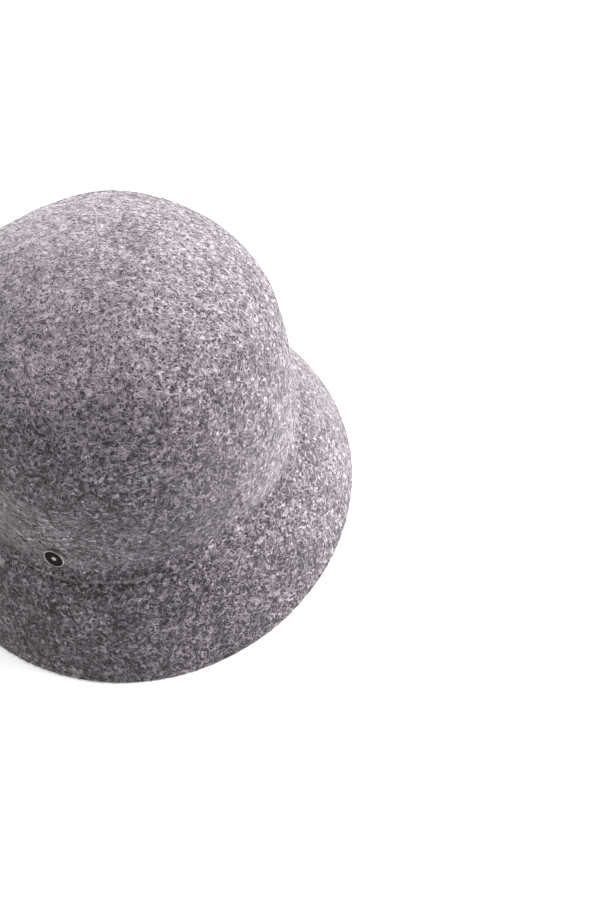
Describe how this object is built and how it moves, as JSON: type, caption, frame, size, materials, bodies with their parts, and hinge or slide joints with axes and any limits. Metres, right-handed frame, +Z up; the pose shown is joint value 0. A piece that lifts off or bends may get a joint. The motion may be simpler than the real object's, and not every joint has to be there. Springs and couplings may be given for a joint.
{
  "type": "felt cloche hat",
  "caption": "Brimmed wool-felt hat with a rounded crown, a short steep brim, a ribbon sweatband, inside labels and a small round metal badge.",
  "frame": {"origin": "middle of the base plane that the brim edge rests on", "axes": "+Z up through the crown, -Y to the hat's front, +X to the right of someone who looks at the front; +Y is the long axis of the head oval"},
  "size_m": [0.2468, 0.269, 0.157],
  "materials": {
    "felt": "melange wool felt, soft nap",
    "grosgrain": "ribbed grosgrain ribbon",
    "thread": "spun polyester thread",
    "woven_label": "damask-woven label, blank",
    "satin_label": "satin label tape, blank",
    "badge_metal": "pale champagne plating",
    "enamel": "black enamel",
    "washer_metal": "zinc-plated steel"
  },
  "bodies": {
    "hat": {"felt_hood": "felt", "sweatband": "grosgrain", "seam_needle_thread": "thread", "seam_bobbin_thread": "thread", "sweatband_join_stitches": "thread", "brand_label": "woven_label", "brand_label_stitches": "thread", "care_label_stitches": "thread", "badge_plate": "badge_metal", "badge_enamel": "enamel", "badge_washer": "washer_metal"},
    "care_flap": {"care_label": "satin_label"},
    "size_flap": {"size_tab": "satin_label"}
  },
  "joints": [
    {"name": "care_label_bend", "type": "hinge", "parent": "hat", "child": "care_flap", "pos_m": [0, 0.09238, 0.069], "axis": [-1, 0, 0], "range_deg": [0, 165]},
    {"name": "size_tab_bend", "type": "hinge", "parent": "hat", "child": "size_flap", "pos_m": [0, -0.09518, 0.0495], "axis": [1, 0, 0], "range_deg": [0, 150]}
  ]
}
